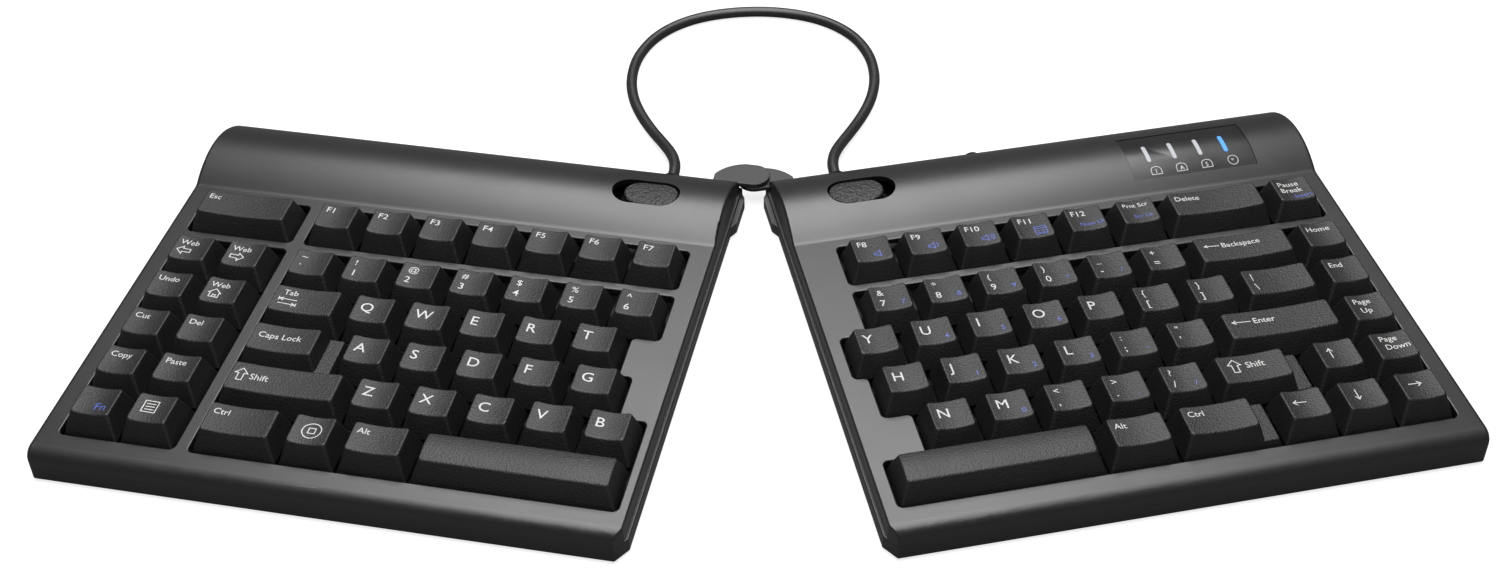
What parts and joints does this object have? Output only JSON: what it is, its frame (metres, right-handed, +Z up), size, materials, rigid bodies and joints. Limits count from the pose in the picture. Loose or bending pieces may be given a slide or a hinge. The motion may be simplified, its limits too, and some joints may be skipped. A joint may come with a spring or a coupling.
{
  "type": "split keyboard",
  "caption": "Ergonomic keyboard in two flat modules that splay about a rear tether pin, with sprung key caps, sliding release buttons and a looped link cord.",
  "frame": {"origin": "on the desk, midway between the outermost points of the two modules, the link cord left out", "axes": "+X to the typist's right, +Y away from the typist, +Z up"},
  "size_m": [0.4588, 0.2969, 0.02],
  "materials": {
    "shell": "fine satin grain",
    "key_cap": "fine matt grain",
    "button": "satin",
    "tether": "matt",
    "guide_plate": "satin",
    "dome_rubber": "translucent silicone",
    "membrane": "clear film with printed tracks",
    "steel": "plain",
    "rubber": "matt",
    "cord_jacket": "satin",
    "panel": "gloss",
    "light_pipe": "frosted clear",
    "circuit_board": "solder mask"
  },
  "bodies": {
    "right_module": {"right_top_shell": "shell", "right_bottom_shell": "shell", "right_guide_plate": "guide_plate", "right_dome_sheet": "dome_rubber", "right_membrane": "membrane", "right_backing_plate": "steel", "right_screws": "steel", "right_stabiliser_wires": "steel", "right_release_spring": "steel", "right_feet": "rubber", "right_cord_gland": "rubber", "indicator_window": "panel", "indicator_light_bars": "light_pipe", "controller_board": "circuit_board", "computer_lead_gland": "rubber", "tether_right_arm": "tether", "tether_pin": "steel", "link_cord": "cord_jacket"},
    "left_module": {"left_top_shell": "shell", "left_bottom_shell": "shell", "left_guide_plate": "guide_plate", "left_dome_sheet": "dome_rubber", "left_membrane": "membrane", "left_backing_plate": "steel", "left_screws": "steel", "left_stabiliser_wires": "steel", "left_release_spring": "steel", "left_feet": "rubber", "left_cord_gland": "rubber", "tether_left_arm": "tether", "interface_board": "circuit_board"},
    "left_release_button": {"left_release_button": "button"},
    "esc_key": {"esc_key": "key_cap"},
    "left_function_keys": {"left_function_keys": "key_cap"},
    "hotkeys": {"hotkeys": "key_cap"},
    "left_number_keys": {"left_number_keys": "key_cap"},
    "tab_key": {"tab_key": "key_cap"},
    "left_upper_letter_keys": {"left_upper_letter_keys": "key_cap"},
    "caps_lock_key": {"caps_lock_key": "key_cap"},
    "left_home_letter_keys": {"left_home_letter_keys": "key_cap"},
    "left_shift_key": {"left_shift_key": "key_cap"},
    "left_lower_letter_keys": {"left_lower_letter_keys": "key_cap"},
    "left_modifier_keys": {"left_modifier_keys": "key_cap"},
    "left_space_key": {"left_space_key": "key_cap"},
    "right_release_button": {"right_release_button": "button"},
    "right_function_keys": {"right_function_keys": "key_cap"},
    "delete_key": {"delete_key": "key_cap"},
    "right_number_keys": {"right_number_keys": "key_cap"},
    "backspace_key": {"backspace_key": "key_cap"},
    "navigation_keys": {"navigation_keys": "key_cap"},
    "right_upper_letter_keys": {"right_upper_letter_keys": "key_cap"},
    "backslash_key": {"backslash_key": "key_cap"},
    "right_home_letter_keys": {"right_home_letter_keys": "key_cap"},
    "enter_key": {"enter_key": "key_cap"},
    "right_lower_letter_keys": {"right_lower_letter_keys": "key_cap"},
    "right_shift_key": {"right_shift_key": "key_cap"},
    "arrow_keys": {"arrow_keys": "key_cap"},
    "right_modifier_keys": {"right_modifier_keys": "key_cap"},
    "right_space_key": {"right_space_key": "key_cap"}
  },
  "joints": [
    {"name": "splay_hinge", "type": "hinge", "parent": "right_module", "child": "left_module", "pos_m": [0, 0.07046, 0], "axis": [0, 0, 1], "range_deg": [-7.14, 22.86], "deforming": ["link_cord"]},
    {"name": "left_release_slide", "type": "slide", "parent": "left_module", "child": "left_release_button", "axis": [-0.9802, 0.1982, 0], "range_m": [0, 0.0038], "stiffness_N_per_m": 600, "springref_m": -0.0015, "deforming": ["left_release_spring"]},
    {"name": "esc_key_press", "type": "slide", "parent": "left_module", "child": "esc_key", "axis": [0, 0, -1], "range_m": [0, 0.0035], "stiffness_N_per_m": 150, "springref_m": -0.001, "deforming": ["left_dome_sheet", "left_stabiliser_wires"]},
    {"name": "left_function_keys_press", "type": "slide", "parent": "left_module", "child": "left_function_keys", "axis": [0, 0, -1], "range_m": [0, 0.0035], "stiffness_N_per_m": 1050, "springref_m": -0.001, "deforming": ["left_dome_sheet"]},
    {"name": "hotkeys_press", "type": "slide", "parent": "left_module", "child": "hotkeys", "axis": [0, 0, -1], "range_m": [0, 0.0035], "stiffness_N_per_m": 1500, "springref_m": -0.001, "deforming": ["left_dome_sheet"]},
    {"name": "left_number_keys_press", "type": "slide", "parent": "left_module", "child": "left_number_keys", "axis": [0, 0, -1], "range_m": [0, 0.0035], "stiffness_N_per_m": 1050, "springref_m": -0.001, "deforming": ["left_dome_sheet"]},
    {"name": "tab_key_press", "type": "slide", "parent": "left_module", "child": "tab_key", "axis": [0, 0, -1], "range_m": [0, 0.0035], "stiffness_N_per_m": 150, "springref_m": -0.001, "deforming": ["left_dome_sheet"]},
    {"name": "left_upper_letter_keys_press", "type": "slide", "parent": "left_module", "child": "left_upper_letter_keys", "axis": [0, 0, -1], "range_m": [0, 0.0035], "stiffness_N_per_m": 750, "springref_m": -0.001, "deforming": ["left_dome_sheet"]},
    {"name": "caps_lock_key_press", "type": "slide", "parent": "left_module", "child": "caps_lock_key", "axis": [0, 0, -1], "range_m": [0, 0.0035], "stiffness_N_per_m": 150, "springref_m": -0.001, "deforming": ["left_dome_sheet"]},
    {"name": "left_home_letter_keys_press", "type": "slide", "parent": "left_module", "child": "left_home_letter_keys", "axis": [0, 0, -1], "range_m": [0, 0.0035], "stiffness_N_per_m": 750, "springref_m": -0.001, "deforming": ["left_dome_sheet"]},
    {"name": "left_shift_key_press", "type": "slide", "parent": "left_module", "child": "left_shift_key", "axis": [0, 0, -1], "range_m": [0, 0.0035], "stiffness_N_per_m": 150, "springref_m": -0.001, "deforming": ["left_dome_sheet", "left_stabiliser_wires"]},
    {"name": "left_lower_letter_keys_press", "type": "slide", "parent": "left_module", "child": "left_lower_letter_keys", "axis": [0, 0, -1], "range_m": [0, 0.0035], "stiffness_N_per_m": 750, "springref_m": -0.001, "deforming": ["left_dome_sheet"]},
    {"name": "left_modifier_keys_press", "type": "slide", "parent": "left_module", "child": "left_modifier_keys", "axis": [0, 0, -1], "range_m": [0, 0.0035], "stiffness_N_per_m": 450, "springref_m": -0.001, "deforming": ["left_dome_sheet"]},
    {"name": "left_space_key_press", "type": "slide", "parent": "left_module", "child": "left_space_key", "axis": [0, 0, -1], "range_m": [0, 0.0035], "stiffness_N_per_m": 150, "springref_m": -0.001, "deforming": ["left_dome_sheet", "left_stabiliser_wires"]},
    {"name": "right_release_slide", "type": "slide", "parent": "right_module", "child": "right_release_button", "axis": [0.9802, 0.1982, 0], "range_m": [0, 0.0038], "stiffness_N_per_m": 600, "springref_m": -0.0015, "deforming": ["right_release_spring"]},
    {"name": "right_function_keys_press", "type": "slide", "parent": "right_module", "child": "right_function_keys", "axis": [0, 0, -1], "range_m": [0, 0.0035], "stiffness_N_per_m": 900, "springref_m": -0.001, "deforming": ["right_dome_sheet"]},
    {"name": "delete_key_press", "type": "slide", "parent": "right_module", "child": "delete_key", "axis": [0, 0, -1], "range_m": [0, 0.0035], "stiffness_N_per_m": 150, "springref_m": -0.001, "deforming": ["right_dome_sheet", "right_stabiliser_wires"]},
    {"name": "right_number_keys_press", "type": "slide", "parent": "right_module", "child": "right_number_keys", "axis": [0, 0, -1], "range_m": [0, 0.0035], "stiffness_N_per_m": 900, "springref_m": -0.001, "deforming": ["right_dome_sheet"]},
    {"name": "backspace_key_press", "type": "slide", "parent": "right_module", "child": "backspace_key", "axis": [0, 0, -1], "range_m": [0, 0.0035], "stiffness_N_per_m": 150, "springref_m": -0.001, "deforming": ["right_dome_sheet", "right_stabiliser_wires"]},
    {"name": "navigation_keys_press", "type": "slide", "parent": "right_module", "child": "navigation_keys", "axis": [0, 0, -1], "range_m": [0, 0.0035], "stiffness_N_per_m": 750, "springref_m": -0.001, "deforming": ["right_dome_sheet"]},
    {"name": "right_upper_letter_keys_press", "type": "slide", "parent": "right_module", "child": "right_upper_letter_keys", "axis": [0, 0, -1], "range_m": [0, 0.0035], "stiffness_N_per_m": 1050, "springref_m": -0.001, "deforming": ["right_dome_sheet"]},
    {"name": "backslash_key_press", "type": "slide", "parent": "right_module", "child": "backslash_key", "axis": [0, 0, -1], "range_m": [0, 0.0035], "stiffness_N_per_m": 150, "springref_m": -0.001, "deforming": ["right_dome_sheet"]},
    {"name": "right_home_letter_keys_press", "type": "slide", "parent": "right_module", "child": "right_home_letter_keys", "axis": [0, 0, -1], "range_m": [0, 0.0035], "stiffness_N_per_m": 900, "springref_m": -0.001, "deforming": ["right_dome_sheet"]},
    {"name": "enter_key_press", "type": "slide", "parent": "right_module", "child": "enter_key", "axis": [0, 0, -1], "range_m": [0, 0.0035], "stiffness_N_per_m": 150, "springref_m": -0.001, "deforming": ["right_dome_sheet", "right_stabiliser_wires"]},
    {"name": "right_lower_letter_keys_press", "type": "slide", "parent": "right_module", "child": "right_lower_letter_keys", "axis": [0, 0, -1], "range_m": [0, 0.0035], "stiffness_N_per_m": 750, "springref_m": -0.001, "deforming": ["right_dome_sheet"]},
    {"name": "right_shift_key_press", "type": "slide", "parent": "right_module", "child": "right_shift_key", "axis": [0, 0, -1], "range_m": [0, 0.0035], "stiffness_N_per_m": 150, "springref_m": -0.001, "deforming": ["right_dome_sheet"]},
    {"name": "arrow_keys_press", "type": "slide", "parent": "right_module", "child": "arrow_keys", "axis": [0, 0, -1], "range_m": [0, 0.0035], "stiffness_N_per_m": 600, "springref_m": -0.001, "deforming": ["right_dome_sheet"]},
    {"name": "right_modifier_keys_press", "type": "slide", "parent": "right_module", "child": "right_modifier_keys", "axis": [0, 0, -1], "range_m": [0, 0.0035], "stiffness_N_per_m": 300, "springref_m": -0.001, "deforming": ["right_dome_sheet"]},
    {"name": "right_space_key_press", "type": "slide", "parent": "right_module", "child": "right_space_key", "axis": [0, 0, -1], "range_m": [0, 0.0035], "stiffness_N_per_m": 150, "springref_m": -0.001, "deforming": ["right_dome_sheet", "right_stabiliser_wires"]}
  ]
}
